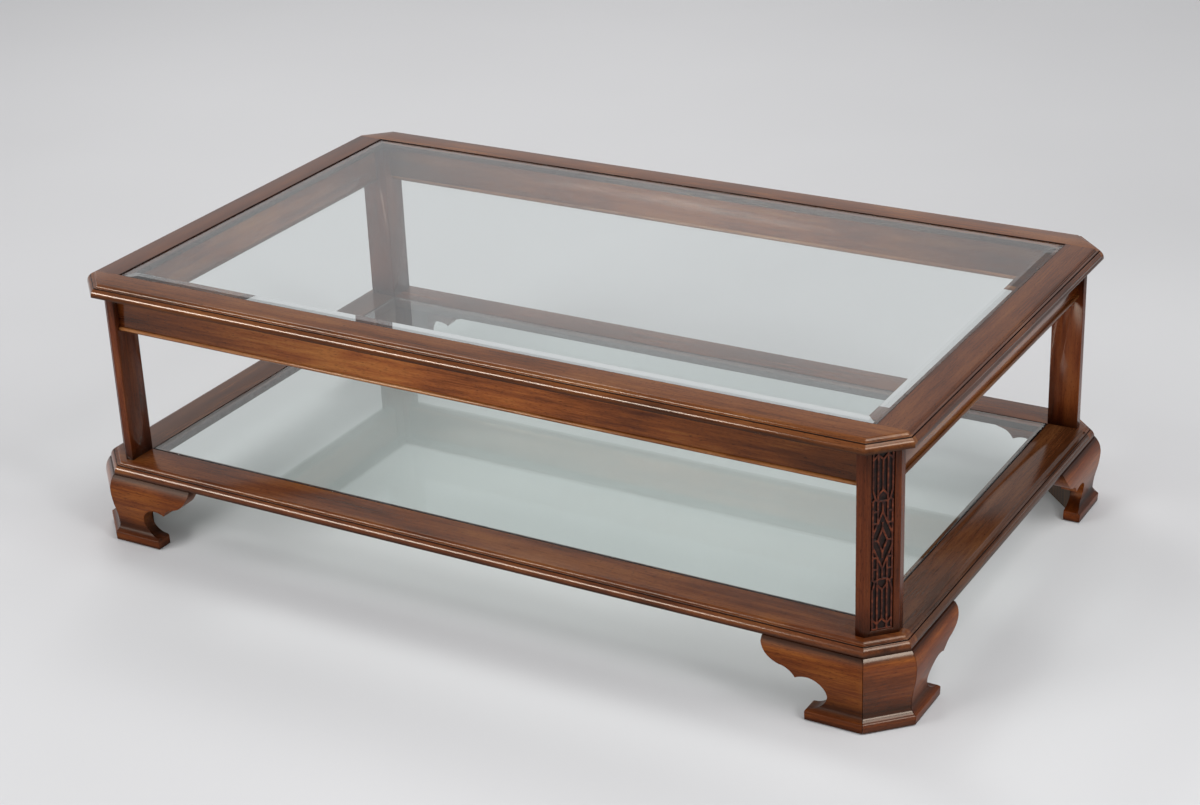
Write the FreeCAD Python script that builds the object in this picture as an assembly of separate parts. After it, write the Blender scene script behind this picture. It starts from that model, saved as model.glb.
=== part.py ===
"""Glass-topped display table: a mahogany frame on four clipped corner posts,
a second glass shelf, blind fretwork panels and ogee bracket feet.

Millimetres, +Z up, X along the table, front towards -Y.
The origin is on the floor under the middle of the table.
"""
import FreeCAD, Part
import math
import os

from FreeCAD import Vector

# ---------------------------------------------------------------- driving dimensions
# Overall
TABLE_LENGTH = 1361.4
TABLE_WIDTH = 814.4
TABLE_HEIGHT = 425.4
CORNER_CUT = 47.9            # leg of the clipped corner, along each side
FOOT_HEIGHT = 111.7          # floor to the underside of the shelf frame

# Moulded edge of both frames; insets run inwards from the outline, depths down from the top
FRAME_THICKNESS = 18.0
ARRIS_INSET = 14.7           # edge of the flat top surface
OVOLO_WIDTH = 4.6
FILLET_DEPTH = 4.0
QUIRK_INSET = 6.1            # inner wall of the fine groove behind the thumb moulding
QUIRK_WIDTH = 1.0
QUIRK_DEPTH = 6.4
THUMB_DEPTH = 5.4            # top of the thumb moulding, which ends at the underside
THUMB_SWELL = 1.5            # how far its arc stands off its chord

# Frames
TOP_RAIL_WIDTH = 57.2        # outline to the glass opening
SHELF_RAIL_WIDTH = 69.2
LEDGE = 10.0                 # ledge that carries the glass
RAIL_TENON_LENGTH = 10.0
RAIL_TENON_THICKNESS = 4.0
RAIL_TENON_DEPTH = 5.5       # underside of the frame to the tenon
RAIL_TENON_SHOULDER = 6.0    # beside the arris and beside the glass opening

# Posts
POST_INSET = 21.4            # outline to the outer faces of a post
POST_CLIP = 35.0             # leg of the clipped outer corner
SPIGOT_SIZE = 12.0
SPIGOT_HEIGHT = 4.5
POST_TENON_INSET = 41.5      # outline to the outer faces of the tenon on a post's foot
POST_TENON_SIZE = 14.0
POST_TENON_IN_BLOCK = 30.0

# Sunk panel and fretwork on the clipped face
PANEL_WIDTH = 32.5
PANEL_DEPTH = 4.5
PANEL_TOP_MARGIN = 4.0
PANEL_FOOT_MARGIN = 8.0
FRET_GROUND = 1.2            # thin ground that the fretwork stands on
FRET_RELIEF = 2.6
FRET_CLEARANCE = 0.15
STRAP = 2.6                  # width of a fretwork strap
FRET_LATTICE = 15.0          # length of the lattice at either end of the fretwork
FRET_BAR_FOOT = 73.0         # levels up and down from the middle of the fretwork
FRET_ARCH_LINE = 57.0
FRET_LOOP_HEAD = 42.0
FRET_LOOP_FOOT = 25.0
FRET_TIE = 17.0

# Aprons
APRON_HEIGHT = 55.1
APRON_THICKNESS = 20.0
APRON_SETBACK = 9.3          # behind the face of the post
APRON_TENON_LENGTH = 15.0
APRON_TENON_THICKNESS = 10.0
APRON_TENON_SHOULDER = 8.0
APRON_TONGUE_HEIGHT = 5.0    # tongue along the top edge, let into the top rail
APRON_TONGUE_THICKNESS = 6.0
APRON_TONGUE_MARGIN = 12.0   # post to the end of the tongue
BEAD_THICKNESS = 6.0         # its nose is a full half round

# Glass
TOP_GLASS = 8.0
SHELF_GLASS = 6.0
GLASS_GAP = 1.5              # play between a pane and its rebate
BEVEL_WIDTH = 18.0
BEVEL_DEPTH = 1.6
SHELF_ARRIS = 1.0            # ground edge of the shelf pane
GLASS_PAD_SIZE = 7.0
GLASS_PAD_THICKNESS = 1.0
GLASS_PAD_MARGIN = 100.0     # glass corner to the nearest pad
LONG_PAD_COUNT = 3
SHORT_PAD_COUNT = 2

# Ogee of the feet: projections run outwards from the outline, heights up from the floor
GLIDE_STAND = 2.0            # the glides hold the wood off the floor
FOOT_STOCK = 16.7            # outline to the back of the foot's boards
HEAD_OUT = 1.8
SHOULDER_OUT = 7.8
SHOULDER_HEIGHT = 100.6
BELLY_OUT = 10.2
BELLY_HEIGHT = 85.0
BELLY_SWELL = 0.8            # each swell or hollow is how far an arc stands off its chord
WAIST_OUT = 5.8
WAIST_HEIGHT = 55.0
NECK_OUT = 1.7
NECK_HEIGHT = 30.0
NECK_HOLLOW = 0.6
COVE_OUT = 3.1
COVE_HEIGHT = 21.5
PAD_OUT = 10.0
PAD_HEIGHT = 16.0
PAD_ROUND = 2.0
PAD_TOE_OUT = 9.3

# Scroll-cut outline of a bracket; reaches run along the side from the table's corner
TIP_REACH = 194.7
TIP_HEIGHT = 105.0
LOBE_REACH = 165.7           # where the hanging lobe meets the cove
LOBE_HEIGHT = 78.0
LOBE_SWELL = 4.9
COVE_HOLLOW = 3.6
CUSP_REACH = 143.7
CUSP_HEIGHT = 62.0
CREST_HOLLOW = 1.5
ARCH_REACH = 122.7           # where the crest meets the arch over the toe
ARCH_HEIGHT = 67.0
ARCH_HOLLOW = 6.2
THROAT_REACH = 98.2
THROAT_HEIGHT = 41.0
THROAT_HOLLOW = 6.4
TOE_REACH = 128.7
TOE_HEIGHT = 18.0
TOE_ROUND = 4.0

GLUE_BLOCK_LEG = 118.0       # table corner to the glue block's diagonal, along each side

# Glides
GLIDE_RADIUS = 9.0
GLIDE_INSET = 4.7            # middle of a glide behind the clipped outline
NAIL_SIZE = 2.0              # square shank
NAIL_LENGTH = 14.0
NAIL_TIP_GAP = 0.3

# ---------------------------------------------------------------- worked-out values
HALF_LENGTH = TABLE_LENGTH / 2
HALF_WIDTH = TABLE_WIDTH / 2
TOP_UNDERSIDE = TABLE_HEIGHT - FRAME_THICKNESS
SHELF_TOP = FOOT_HEIGHT + FRAME_THICKNESS
POST_INNER_X = HALF_LENGTH - SHELF_RAIL_WIDTH
POST_INNER_Y = HALF_WIDTH - SHELF_RAIL_WIDTH
APRON_BOTTOM = TOP_UNDERSIDE - APRON_HEIGHT
APRON_INSET = POST_INSET + APRON_SETBACK
APRON_MIDDLE = APRON_INSET + APRON_THICKNESS / 2
DIAGONAL = math.sqrt(2)                   # diagonal of a square, as a share of its side
MITRE_SLOPE = math.tan(math.radians(22.5))
QUARTER_SWELL = 1 - math.sqrt(0.5)        # swell of a quarter round, as a share of its radius
BEYOND = 15.0                             # overshoot of a cutting solid
FROM_FRONT = Vector(0, -1, 0)             # towards someone who looks at the front
FROM_RIGHT = Vector(1, 0, 0)              # towards someone who looks at the right end
SIDES = {"front": -1, "back": 1}
ENDS = {"left": -1, "right": 1}


# ---------------------------------------------------------------- small helpers
def box(x_low, x_high, y_low, y_high, z_low, z_high):
    """A block given by its faces."""
    corner = Vector(x_low, y_low, z_low)
    return Part.makeBox(x_high - x_low, y_high - y_low, z_high - z_low, corner)


def square_pin(x, y, size, z_low, z_high):
    """An upright square pin about (x, y)."""
    half = size / 2
    return box(x - half, x + half, y - half, y + half, z_low, z_high)


def plan_prism(points, z_low, z_high):
    """A prism over an outline of (x, y) points."""
    corners = [Vector(x, y, z_low) for x, y in points]
    face = Part.Face(Part.makePolygon(corners + corners[:1]))
    return face.extrude(Vector(0, 0, z_high - z_low))


def filled(edges):
    """The face inside a ring of edges."""
    return Part.Face(Part.Wire(Part.__sortEdges__(edges)))


def joined(points):
    """Straight edges from point to point."""
    return [Part.makeLine(start, end) for start, end in zip(points, points[1:])]


def arc(start, middle, end):
    """An arc edge through three vectors."""
    return Part.Arc(start, middle, end).toShape()


def swelled(start, end, swell, viewer=FROM_FRONT):
    """An arc edge that stands off its chord, to the left of the way as the viewer sees it."""
    left = viewer.cross(end - start).normalize()
    return arc(start, (start + end) / 2 + left * swell, end)


def mirrored(shape, end, side):
    """A shape of the right end and back side, moved to the given end and side."""
    if end < 0:
        shape = shape.mirror(Vector(), Vector(1, 0, 0))
    if side < 0:
        shape = shape.mirror(Vector(), Vector(0, 1, 0))
    return shape


def swapped(shape):
    """A shape of the long side, mirrored onto the short side of the same corner."""
    return shape.mirror(Vector(), Vector(1, -1, 0))


def at_corner(shape):
    """A shape drawn from the table's uncut corner, moved to the right, back corner."""
    return shape.translated(Vector(HALF_LENGTH, HALF_WIDTH, 0))


def on_clip(shape, leg, inset):
    """A shape drawn with +Y facing out, turned onto a corner clipped by the given leg."""
    turned = shape.rotated(Vector(), Vector(0, 0, 1), -45)
    middle = -inset - leg / 2
    return at_corner(turned.translated(Vector(middle, middle, 0)))


def mitre_reach(inset):
    """Distance along a side from the table's corner to the mitre, at an inset from the outline."""
    return CORNER_CUT + MITRE_SLOPE * inset


def octagon(inset):
    """The table's outline in plan, drawn in by an inset."""
    x = HALF_LENGTH - inset
    y = HALF_WIDTH - inset
    x_cut = HALF_LENGTH - mitre_reach(inset)
    y_cut = HALF_WIDTH - mitre_reach(inset)
    return [(x, -y_cut), (x, y_cut), (x_cut, y), (-x_cut, y),
            (-x, y_cut), (-x, -y_cut), (-x_cut, -y), (x_cut, -y)]


def spread(count, reach):
    """Evenly spaced positions from -reach to reach."""
    return [reach * (2 * place / (count - 1) - 1) for place in range(count)]


# ---------------------------------------------------------------- moulded frames
def moulded_edge(half_span, z_top):
    """Edges down one side of a frame: ovolo, fillet, step and thumb moulding."""
    def at(inset, depth):
        return Vector(half_span - inset, 0, z_top - depth)

    ovolo_radius = (OVOLO_WIDTH ** 2 + FILLET_DEPTH ** 2) / (2 * FILLET_DEPTH)
    half_turn = math.atan2(OVOLO_WIDTH, ovolo_radius - FILLET_DEPTH) / 2
    ovolo_middle = at(ARRIS_INSET - ovolo_radius * math.sin(half_turn),
                      ovolo_radius * (1 - math.cos(half_turn)))
    ovolo_foot = at(ARRIS_INSET - OVOLO_WIDTH, FILLET_DEPTH)
    thumb_head = at(QUIRK_INSET - QUIRK_WIDTH, THUMB_DEPTH)
    steps = joined([ovolo_foot, at(QUIRK_INSET, FILLET_DEPTH), at(QUIRK_INSET, THUMB_DEPTH), thumb_head])
    thumb = swelled(thumb_head, at(0, FRAME_THICKNESS), THUMB_SWELL)
    return [arc(at(ARRIS_INSET, 0), ovolo_middle, ovolo_foot)] + steps + [thumb]


def moulded_bar(half_span, z_top, angle):
    """A long bar with the moulded edge down both sides, turned about +Z."""
    right = moulded_edge(half_span, z_top)
    left = [edge.mirror(Vector(), Vector(1, 0, 0)) for edge in right]
    arris = half_span - ARRIS_INSET
    z_low = z_top - FRAME_THICKNESS
    across = [
        Part.makeLine(Vector(-arris, 0, z_top), Vector(arris, 0, z_top)),
        Part.makeLine(Vector(-half_span, 0, z_low), Vector(half_span, 0, z_low)),
    ]
    bar = filled(right + left + across).extrude(Vector(0, 2 * TABLE_LENGTH, 0))
    bar.translate(Vector(0, -TABLE_LENGTH, 0))
    return bar.rotated(Vector(), Vector(0, 0, 1), angle)


def moulded_slab(z_top):
    """The whole octagonal frame before its opening is cut, mouldings mitred at the vertices."""
    half_diagonal = (HALF_LENGTH + HALF_WIDTH - CORNER_CUT) / DIAGONAL
    slab = moulded_bar(HALF_LENGTH, z_top, 0)
    slab = slab.common(moulded_bar(HALF_WIDTH, z_top, 90))
    slab = slab.common(moulded_bar(half_diagonal, z_top, 45))
    slab = slab.common(moulded_bar(half_diagonal, z_top, -45))
    levels = (z_top - QUIRK_DEPTH, z_top - THUMB_DEPTH)
    quirk = plan_prism(octagon(QUIRK_INSET - QUIRK_WIDTH), *levels)
    return slab.cut(quirk.cut(plan_prism(octagon(QUIRK_INSET), *levels)))


def glazed_frame(z_top, rail_width, rebate_depth):
    """The slab with its opening and the rebate that the pane drops into."""
    x_glass = HALF_LENGTH - rail_width
    y_glass = HALF_WIDTH - rail_width
    x_open = x_glass - LEDGE
    y_open = y_glass - LEDGE
    opening = box(-x_open, x_open, -y_open, y_open, z_top - FRAME_THICKNESS - BEYOND, z_top + BEYOND)
    rebate = box(-x_glass, x_glass, -y_glass, y_glass, z_top - rebate_depth, z_top + BEYOND)
    return moulded_slab(z_top).cut(opening).cut(rebate)


def rail_tenon(z_low, rail_width):
    """The tenon on the back end of the right rail; its mortise has the same size."""
    x_outer = HALF_LENGTH - ARRIS_INSET - RAIL_TENON_SHOULDER
    x_inner = HALF_LENGTH - rail_width + RAIL_TENON_SHOULDER
    y_shoulder = HALF_WIDTH - rail_width
    z_tenon = z_low + RAIL_TENON_DEPTH
    return box(x_inner, x_outer, y_shoulder, y_shoulder + RAIL_TENON_LENGTH,
               z_tenon, z_tenon + RAIL_TENON_THICKNESS)


def frame_rails(prefix, z_top, rail_width, rebate_depth, sunk):
    """Two long rails with the clipped corners, two short rails tenoned between them.

    What the frame takes in, such as tenons and tongues of other pieces, is given in sunk.
    """
    frame = glazed_frame(z_top, rail_width, rebate_depth).cut(sunk)
    z_low = z_top - FRAME_THICKNESS
    x_glass = HALF_LENGTH - rail_width
    y_glass = HALF_WIDTH - rail_width
    levels = (z_low - BEYOND, z_top + BEYOND)
    long_zone = box(-HALF_LENGTH - BEYOND, HALF_LENGTH + BEYOND, y_glass, HALF_WIDTH + BEYOND, *levels)
    ledge_zone = box(LEDGE - x_glass, x_glass - LEDGE, y_glass - LEDGE, y_glass, *levels)
    short_zone = box(x_glass - LEDGE, HALF_LENGTH + BEYOND, -y_glass, y_glass, *levels)
    tenon = rail_tenon(z_low, rail_width)
    long_rail = frame.common(long_zone.fuse(ledge_zone))
    long_rail = long_rail.cut(tenon).cut(mirrored(tenon, -1, 1))
    short_rail = frame.common(short_zone).fuse([tenon, mirrored(tenon, 1, -1)])
    rails = {}
    for side_name, side in SIDES.items():
        rails[prefix + "_" + side_name] = mirrored(long_rail, 1, side)
    for end_name, end in ENDS.items():
        rails[prefix + "_" + end_name] = mirrored(short_rail, end, 1)
    return rails


def top_rails():
    """The top frame, with sockets for the posts' spigots and grooves for the aprons' tongues."""
    sunk = corners(spigot()) + apron_tongues()
    return frame_rails("top_rail", TABLE_HEIGHT, TOP_RAIL_WIDTH, TOP_GLASS + GLASS_PAD_THICKNESS, sunk)


def shelf_rails():
    """The shelf frame, mortised right through for the tenons on the posts' feet."""
    sunk = corners(post_tenon())
    return frame_rails("shelf_rail", SHELF_TOP, SHELF_RAIL_WIDTH, SHELF_GLASS + GLASS_PAD_THICKNESS, sunk)


# ---------------------------------------------------------------- aprons and their beads
def apron_tenon():
    """The tenon on the right end of the back apron, drawn from the table's corner."""
    half = APRON_TENON_THICKNESS / 2
    return box(-SHELF_RAIL_WIDTH, -SHELF_RAIL_WIDTH + APRON_TENON_LENGTH,
               -APRON_MIDDLE - half, -APRON_MIDDLE + half,
               APRON_BOTTOM + APRON_TENON_SHOULDER, TOP_UNDERSIDE - APRON_TENON_SHOULDER)


def tongue(x_half, y_half, x_middle, y_middle):
    """A tongue that stands on the top edge of an apron."""
    return box(x_middle - x_half, x_middle + x_half, y_middle - y_half, y_middle + y_half,
               TOP_UNDERSIDE, TOP_UNDERSIDE + APRON_TONGUE_HEIGHT)


def apron_tongues():
    """The tongues of the back, front, right and left aprons."""
    half = APRON_TONGUE_THICKNESS / 2
    long_tongue = tongue(POST_INNER_X - APRON_TONGUE_MARGIN, half, 0, HALF_WIDTH - APRON_MIDDLE)
    short_tongue = tongue(half, POST_INNER_Y - APRON_TONGUE_MARGIN, HALF_LENGTH - APRON_MIDDLE, 0)
    return [long_tongue, mirrored(long_tongue, 1, -1), short_tongue, mirrored(short_tongue, -1, 1)]


def aprons():
    """Four aprons, tenoned into the posts and tongued into the top rails."""
    y_outer = HALF_WIDTH - APRON_INSET
    x_outer = HALF_LENGTH - APRON_INSET
    long_tenon = at_corner(apron_tenon())
    short_tenon = at_corner(swapped(apron_tenon()))
    long_tongue, _, short_tongue, _ = apron_tongues()
    long_apron = box(-POST_INNER_X, POST_INNER_X, y_outer - APRON_THICKNESS, y_outer,
                     APRON_BOTTOM, TOP_UNDERSIDE)
    long_apron = long_apron.fuse([long_tenon, mirrored(long_tenon, -1, 1), long_tongue])
    short_apron = box(x_outer - APRON_THICKNESS, x_outer, -POST_INNER_Y, POST_INNER_Y,
                      APRON_BOTTOM, TOP_UNDERSIDE)
    short_apron = short_apron.fuse([short_tenon, mirrored(short_tenon, 1, -1), short_tongue])
    pieces = {}
    for side_name, side in SIDES.items():
        pieces["apron_" + side_name] = mirrored(long_apron, 1, side)
    for end_name, end in ENDS.items():
        pieces["apron_" + end_name] = mirrored(short_apron, end, 1)
    return pieces


def bead_strip(half_run):
    """A cock bead with a half-round nose, run along X, its face of the apron at y = 0."""
    radius = BEAD_THICKNESS / 2
    z_middle = APRON_BOTTOM - radius
    strip = box(-half_run, half_run, -APRON_THICKNESS, 0, APRON_BOTTOM - BEAD_THICKNESS, APRON_BOTTOM)
    nose = Part.makeCylinder(radius, 2 * half_run, Vector(-half_run, 0, z_middle), Vector(1, 0, 0))
    return strip.fuse(nose).removeSplitter()


def beads():
    """Four cock beads under the aprons."""
    long_bead = bead_strip(POST_INNER_X).translated(Vector(0, HALF_WIDTH - APRON_INSET, 0))
    short_bead = bead_strip(POST_INNER_Y).rotated(Vector(), Vector(0, 0, 1), -90)
    short_bead.translate(Vector(HALF_LENGTH - APRON_INSET, 0, 0))
    pieces = {}
    for side_name, side in SIDES.items():
        pieces["apron_bead_" + side_name] = mirrored(long_bead, 1, side)
    for end_name, end in ENDS.items():
        pieces["apron_bead_" + end_name] = mirrored(short_bead, end, 1)
    return pieces


# ---------------------------------------------------------------- posts and fretwork
def spigot():
    """The square spigot on a post's head, drawn from the table's corner."""
    middle = SPIGOT_SIZE / 2 - TOP_RAIL_WIDTH
    return square_pin(middle, middle, SPIGOT_SIZE, TOP_UNDERSIDE, TOP_UNDERSIDE + SPIGOT_HEIGHT)


def post_tenon():
    """The tenon on a post's foot, through the shelf frame into the glue block."""
    middle = -POST_TENON_INSET - POST_TENON_SIZE / 2
    return square_pin(middle, middle, POST_TENON_SIZE, FOOT_HEIGHT - POST_TENON_IN_BLOCK, SHELF_TOP)


def panel_levels():
    """Lower and upper end of the sunk panel."""
    return SHELF_TOP + PANEL_FOOT_MARGIN, TOP_UNDERSIDE - PANEL_TOP_MARGIN


def post():
    """A corner post: clipped corner, sunk panel, mortises, spigot and foot tenon."""
    near = POST_INSET
    clip = POST_INSET + POST_CLIP
    far = SHELF_RAIL_WIDTH
    plan = [(-clip, -near), (-far, -near), (-far, -far), (-near, -far), (-near, -clip)]
    body = at_corner(plan_prism(plan, SHELF_TOP, TOP_UNDERSIDE))
    z_low, z_high = panel_levels()
    sunk = box(-PANEL_WIDTH / 2, PANEL_WIDTH / 2, -PANEL_DEPTH, BEYOND, z_low, z_high)
    body = body.cut(on_clip(sunk, POST_CLIP, POST_INSET))
    body = body.cut([at_corner(apron_tenon()), at_corner(swapped(apron_tenon()))])
    return body.fuse([at_corner(spigot()), at_corner(post_tenon())])


def strap(start, end):
    """A straight fretwork strap between two (across, up) points, as a relief prism."""
    start_x, start_z = start
    end_x, end_z = end
    run = math.hypot(end_x - start_x, end_z - start_z)
    half = STRAP / 2
    block = box(-half, run + half, 0, FRET_RELIEF, -half, half)
    angle = math.degrees(math.atan2(end_z - start_z, end_x - start_x))
    block = block.rotated(Vector(), Vector(0, 1, 0), -angle)
    return block.translated(Vector(start_x, 0, start_z))


def fret_quarter(half_width, half_height):
    """Straps of the right half of the upper half: bars, chevrons, arch, loops and lozenge."""
    outer = half_width - STRAP
    inner = outer / 2
    head = half_height - STRAP / 2
    bar_head = head - FRET_LATTICE
    chevron = FRET_LATTICE / 2
    arch_middle = (inner + outer) / 2
    arch_crown = FRET_ARCH_LINE + outer - arch_middle
    runs = [
        ((0, FRET_BAR_FOOT), (0, bar_head)),
        ((inner, FRET_ARCH_LINE), (inner, head)),
        ((outer, FRET_BAR_FOOT), (outer, head)),
        ((0, head), (outer, head)),
        ((0, bar_head), (inner, bar_head + chevron)),
        ((inner, bar_head + chevron), (outer, bar_head)),
        ((0, FRET_BAR_FOOT), (inner, FRET_BAR_FOOT - chevron)),
        ((outer, FRET_BAR_FOOT), (arch_middle, arch_crown)),
        ((inner, FRET_ARCH_LINE), (arch_middle, arch_crown)),
        ((outer, FRET_ARCH_LINE), (arch_middle, arch_crown)),
        ((inner, FRET_LOOP_FOOT), (inner, FRET_ARCH_LINE)),
        ((outer, FRET_LOOP_HEAD), (outer, FRET_ARCH_LINE)),
        ((0, FRET_ARCH_LINE), (inner, FRET_ARCH_LINE)),
        ((0, FRET_LOOP_HEAD), (0, FRET_ARCH_LINE)),
        ((inner, FRET_LOOP_HEAD), (outer, FRET_LOOP_HEAD)),
        ((inner, FRET_LOOP_FOOT), (outer, FRET_LOOP_FOOT)),
        ((outer, 0), (outer, FRET_LOOP_HEAD)),
        ((0, FRET_LOOP_HEAD), (inner, FRET_LOOP_FOOT)),
        ((inner, FRET_LOOP_FOOT), (outer, FRET_TIE / 2)),
        ((0, FRET_TIE), (inner, 0)),
        ((0, FRET_TIE), (0, FRET_LOOP_FOOT)),
        ((inner, 0), (outer, 0)),
    ]
    return [strap(*run) for run in runs]


def fret_panel():
    """Blind fretwork: a thin ground with straps, the same above and below, left and right."""
    z_low, z_high = panel_levels()
    half_width = PANEL_WIDTH / 2 - FRET_CLEARANCE
    half_height = (z_high - z_low) / 2 - FRET_CLEARANCE
    ground = box(-half_width, half_width, -FRET_GROUND, 0, -half_height, half_height)
    quarter = fret_quarter(half_width, half_height)
    half = quarter + [piece.mirror(Vector(), Vector(1, 0, 0)) for piece in quarter]
    whole = half + [piece.mirror(Vector(), Vector(0, 0, 1)) for piece in half]
    panel = ground.fuse(whole).removeSplitter()
    panel.translate(Vector(0, FRET_GROUND - PANEL_DEPTH, (z_low + z_high) / 2))
    return on_clip(panel, POST_CLIP, POST_INSET)


# ---------------------------------------------------------------- feet
def foot_section():
    """Face of the foot's ogee moulding, from the outline outwards along +Y."""
    head = Vector(0, HEAD_OUT, FOOT_HEIGHT)
    shoulder = Vector(0, SHOULDER_OUT, SHOULDER_HEIGHT)
    belly = Vector(0, BELLY_OUT, BELLY_HEIGHT)
    waist = Vector(0, WAIST_OUT, WAIST_HEIGHT)
    neck = Vector(0, NECK_OUT, NECK_HEIGHT)
    cove = Vector(0, COVE_OUT, COVE_HEIGHT)
    pad_arris = Vector(0, PAD_OUT - PAD_ROUND, PAD_HEIGHT)
    pad_nose = Vector(0, PAD_OUT, PAD_HEIGHT - PAD_ROUND)
    back = joined([pad_nose, Vector(0, PAD_TOE_OUT, GLIDE_STAND), Vector(0, -FOOT_STOCK, GLIDE_STAND),
                   Vector(0, -FOOT_STOCK, FOOT_HEIGHT), head])
    curves = [
        arc(head, shoulder, belly),
        swelled(belly, waist, BELLY_SWELL, FROM_RIGHT),
        swelled(waist, neck, -NECK_HOLLOW, FROM_RIGHT),
        arc(neck, cove, pad_arris),
        swelled(pad_arris, pad_nose, QUARTER_SWELL * PAD_ROUND, FROM_RIGHT),
    ]
    return filled(curves + back)


def bracket_outline():
    """Face of a bracket seen square on; x is minus the reach from the table's corner."""
    tip = Vector(-TIP_REACH, 0, TIP_HEIGHT)
    lobe = Vector(-LOBE_REACH, 0, LOBE_HEIGHT)
    cusp = Vector(-CUSP_REACH, 0, CUSP_HEIGHT)
    crest = Vector(-ARCH_REACH, 0, ARCH_HEIGHT)
    throat = Vector(-THROAT_REACH, 0, THROAT_HEIGHT)
    toe_top = Vector(TOE_ROUND - TOE_REACH, 0, TOE_HEIGHT)
    toe_end = Vector(-TOE_REACH, 0, TOE_HEIGHT - TOE_ROUND)
    straight = joined([toe_end, Vector(-TOE_REACH, 0, -BEYOND), Vector(BEYOND, 0, -BEYOND),
                       Vector(BEYOND, 0, FOOT_HEIGHT + BEYOND), Vector(-TIP_REACH, 0, FOOT_HEIGHT + BEYOND),
                       tip])
    scrolls = [
        swelled(tip, lobe, -LOBE_SWELL),
        swelled(lobe, cusp, COVE_HOLLOW),
        swelled(cusp, crest, CREST_HOLLOW),
        swelled(crest, throat, ARCH_HOLLOW),
        swelled(throat, toe_top, THROAT_HOLLOW),
        swelled(toe_top, toe_end, -QUARTER_SWELL * TOE_ROUND),
    ]
    return filled(straight + scrolls)


def bracket():
    """A scroll-cut ogee bracket of the long side, mitred to the clip panel."""
    moulding = foot_section().extrude(Vector(-TIP_REACH - BEYOND, 0, 0))
    outline = bracket_outline().extrude(Vector(0, -FOOT_STOCK - 2 * BEYOND, 0))
    outline.translate(Vector(0, BEYOND, 0))
    plan = [(-mitre_reach(-BEYOND), BEYOND), (-mitre_reach(FOOT_STOCK), -FOOT_STOCK),
            (-TIP_REACH - BEYOND, -FOOT_STOCK), (-TIP_REACH - BEYOND, BEYOND)]
    return moulding.common(outline).common(plan_prism(plan, 0, FOOT_HEIGHT))


def clip_panel():
    """The foot's panel across the cut corner, mitred at both ends, with a hole for the nail."""
    half_face = CORNER_CUT / DIAGONAL
    half_outer = half_face + MITRE_SLOPE * BEYOND
    half_inner = half_face - MITRE_SLOPE * FOOT_STOCK
    moulding = foot_section().extrude(Vector(2 * half_outer, 0, 0))
    moulding.translate(Vector(-half_outer, 0, 0))
    plan = [(-half_outer, BEYOND), (half_outer, BEYOND),
            (half_inner, -FOOT_STOCK), (-half_inner, -FOOT_STOCK)]
    nail_hole = square_pin(0, -GLIDE_INSET, NAIL_SIZE, 0, GLIDE_STAND + NAIL_LENGTH + NAIL_TIP_GAP)
    panel = moulding.common(plan_prism(plan, 0, FOOT_HEIGHT)).cut(nail_hole)
    return on_clip(panel, CORNER_CUT, 0)


def glue_block():
    """The block behind the three boards of a foot, mortised for the post's tenon."""
    near = FOOT_STOCK
    mitre = mitre_reach(FOOT_STOCK)
    far = GLUE_BLOCK_LEG - FOOT_STOCK
    plan = [(-mitre, -near), (-near, -mitre), (-near, -far), (-far, -near)]
    return at_corner(plan_prism(plan, GLIDE_STAND, FOOT_HEIGHT).cut(post_tenon()))


def glide():
    """A nail-on glide under the clip panel of a foot."""
    disc = Part.makeCylinder(GLIDE_RADIUS, GLIDE_STAND, Vector(0, -GLIDE_INSET, 0))
    nail = square_pin(0, -GLIDE_INSET, NAIL_SIZE, 0, GLIDE_STAND + NAIL_LENGTH)
    return on_clip(disc.fuse(nail), CORNER_CUT, 0)


def four(shape):
    """The same piece at all four corners."""
    return [mirrored(shape, end, side) for side in SIDES.values() for end in ENDS.values()]


def corners(shape):
    """A shape drawn from the table's corner, at all four corners."""
    return four(at_corner(shape))


# ---------------------------------------------------------------- glass
def sloped_bar(half_span, z_low, z_high, slope_width, slope_depth):
    """A long slab along Y whose two upper edges slope down."""
    flat = half_span - slope_width
    shoulder = z_high - slope_depth
    outline = [Vector(-half_span, 0, z_low), Vector(half_span, 0, z_low),
               Vector(half_span, 0, shoulder), Vector(flat, 0, z_high),
               Vector(-flat, 0, z_high), Vector(-half_span, 0, shoulder)]
    face = Part.Face(Part.makePolygon(outline + outline[:1]))
    return face.extrude(Vector(0, 2 * TABLE_LENGTH, 0)).translated(Vector(0, -TABLE_LENGTH, 0))


def pane(rail_width, z_high, thickness, slope_width, slope_depth):
    """A pane with its upper edges ground to a slope, loose in its rebate."""
    z_low = z_high - thickness
    half_x = HALF_LENGTH - rail_width - GLASS_GAP
    half_y = HALF_WIDTH - rail_width - GLASS_GAP
    across = sloped_bar(half_x, z_low, z_high, slope_width, slope_depth)
    along = sloped_bar(half_y, z_low, z_high, slope_width, slope_depth)
    return across.common(along.rotated(Vector(), Vector(0, 0, 1), 90))


def glass_pads(rail_width, z_glass):
    """Clear pads on the ledge, under the edge of a pane."""
    x_line = HALF_LENGTH - rail_width - LEDGE / 2
    y_line = HALF_WIDTH - rail_width - LEDGE / 2
    places = []
    for sign in (-1, 1):
        for x in spread(LONG_PAD_COUNT, x_line - GLASS_PAD_MARGIN):
            places.append((x, sign * y_line))
        for y in spread(SHORT_PAD_COUNT, y_line - GLASS_PAD_MARGIN):
            places.append((sign * x_line, y))
    levels = (z_glass - GLASS_PAD_THICKNESS, z_glass)
    return Part.makeCompound([square_pin(x, y, GLASS_PAD_SIZE, *levels) for x, y in places])


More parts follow.
